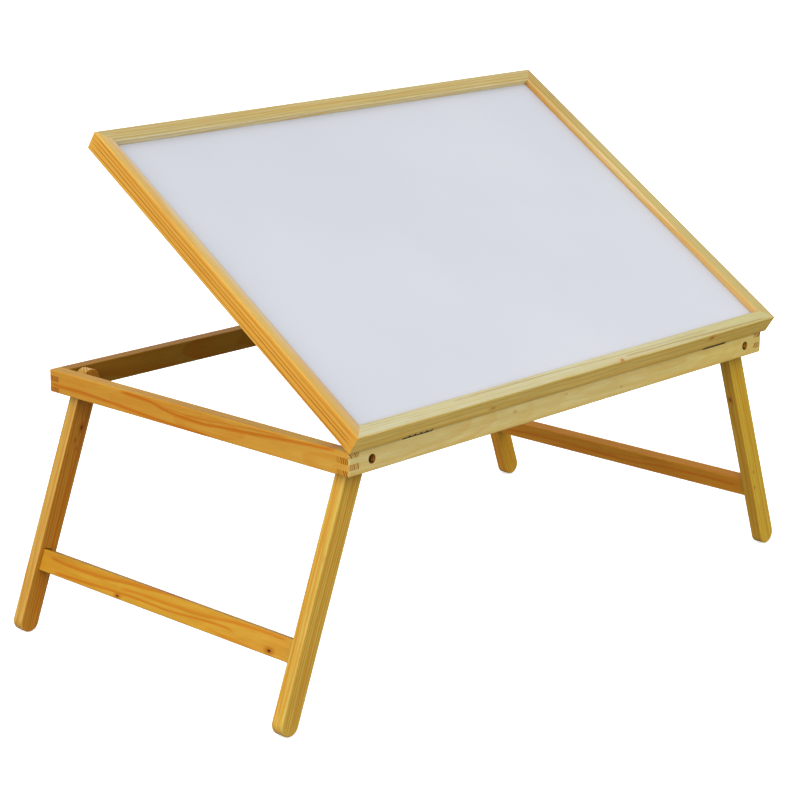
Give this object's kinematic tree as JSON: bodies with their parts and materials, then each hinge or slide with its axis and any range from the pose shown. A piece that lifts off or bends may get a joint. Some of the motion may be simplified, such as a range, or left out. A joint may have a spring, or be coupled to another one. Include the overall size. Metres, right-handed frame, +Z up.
{
  "type": "bed tray table",
  "caption": "Pine bed tray table: a tilting framed tray with a white panel, hinged along the front of a base frame on folding splayed legs.",
  "frame": {"origin": "on the floor, under the middle of the whole object's bounding box", "axes": "+X along the front rail to the right, +Y from the front rail to the back, +Z up"},
  "size_m": [0.7271, 0.4174, 0.4835],
  "materials": {
    "pine_rail": "satin",
    "pine_moulding": "satin",
    "pine_leg": "satin",
    "pine_plain": "satin",
    "beech_dowel": "matte",
    "white_laminate": "satin",
    "hinge_brass": "satin",
    "zinc_steel": "satin"
  },
  "bodies": {
    "base": {"front_rail": "pine_rail", "back_rail": "pine_rail", "left_rail": "pine_rail", "right_rail": "pine_rail", "prop_guide_rail": "pine_plain", "guide_rail_dowels": "beech_dowel", "left_hinge_base_leaf": "hinge_brass", "right_hinge_base_leaf": "hinge_brass", "left_hinge_pin": "zinc_steel", "right_hinge_pin": "zinc_steel", "hinge_base_screws": "zinc_steel"},
    "tray": {"tray_front_moulding": "pine_moulding", "tray_back_moulding": "pine_moulding", "tray_left_moulding": "pine_moulding", "tray_right_moulding": "pine_moulding", "tray_panel": "white_laminate", "tray_crossbar": "pine_plain", "tray_corner_nails": "zinc_steel", "left_hinge_tray_leaf": "hinge_brass", "right_hinge_tray_leaf": "hinge_brass", "hinge_tray_screws": "zinc_steel", "prop_brackets": "zinc_steel", "prop_bracket_screws": "zinc_steel", "prop_pivot_pin": "zinc_steel"},
    "prop": {"prop_strut": "pine_plain", "prop_clamp_stud": "zinc_steel", "prop_clamp_washers": "zinc_steel"},
    "wing_nut": {"prop_wing_nut": "zinc_steel"},
    "left_legs": {"left_front_leg": "pine_leg", "left_back_leg": "pine_leg", "left_stretcher": "pine_plain", "left_pivot_screws": "zinc_steel", "left_pivot_washers": "zinc_steel"},
    "right_legs": {"right_front_leg": "pine_leg", "right_back_leg": "pine_leg", "right_stretcher": "pine_plain", "right_pivot_screws": "zinc_steel", "right_pivot_washers": "zinc_steel"}
  },
  "joints": [
    {"name": "tray_tilt", "type": "hinge", "parent": "base", "child": "tray", "pos_m": [0.0052, -0.1954, 0.24575], "axis": [1, 0, 0], "range_deg": [-33.65, 0]},
    {"name": "prop_fold", "type": "hinge", "parent": "tray", "child": "prop", "pos_m": [0.0103, -0.04556, 0.34549], "axis": [1, 0, 0], "range_deg": [0, 67.31]},
    {"name": "left_leg_fold", "type": "hinge", "parent": "base", "child": "left_legs", "pos_m": [-0.2676, 0.0065, 0.23445], "axis": [0, -1, 0], "range_deg": [0, 110.9]},
    {"name": "right_leg_fold", "type": "hinge", "parent": "base", "child": "right_legs", "pos_m": [0.2755, 0.0065, 0.23445], "axis": [0, 1, 0], "range_deg": [0, 109.1]},
    {"name": "wing_nut_turn", "type": "hinge", "parent": "prop", "child": "wing_nut", "pos_m": [-0.0208, 0.10428, 0.24575], "axis": [-1, 0, 0], "range_deg": [0, 360]}
  ],
  "couplings": [
    {"joint": "prop_fold", "follows": "tray_tilt", "ratio": -2}
  ]
}
